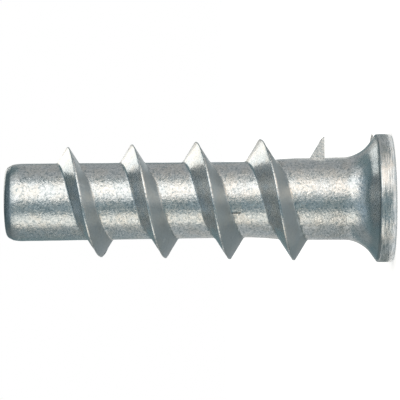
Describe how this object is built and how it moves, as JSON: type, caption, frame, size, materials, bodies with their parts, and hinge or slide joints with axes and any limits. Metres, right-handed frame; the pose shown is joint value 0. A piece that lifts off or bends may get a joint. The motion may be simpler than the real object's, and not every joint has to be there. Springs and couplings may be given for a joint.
{
  "type": "aerated concrete anchor",
  "caption": "One-piece die-cast anchor for aerated concrete, with a coarse self-tapping thread, a flanged head, a hexagon socket and a blind M8 threaded bore.",
  "frame": {"origin": "centre of the head's outer face, on the plane that the anchor stands on", "axes": "+Z along the anchor's axis from the head to the tip; the thread starts and ends on the +X side, in the XZ plane where the halves of the die met"},
  "size_m": [0.0198, 0.0198, 0.06],
  "materials": {
    "zinc_casting": "die-cast zinc alloy, bright galvanised, bluish silver with fine mottled casting grain"
  },
  "bodies": {
    "root": {"anchor": "zinc_casting"}
  },
  "joints": []
}
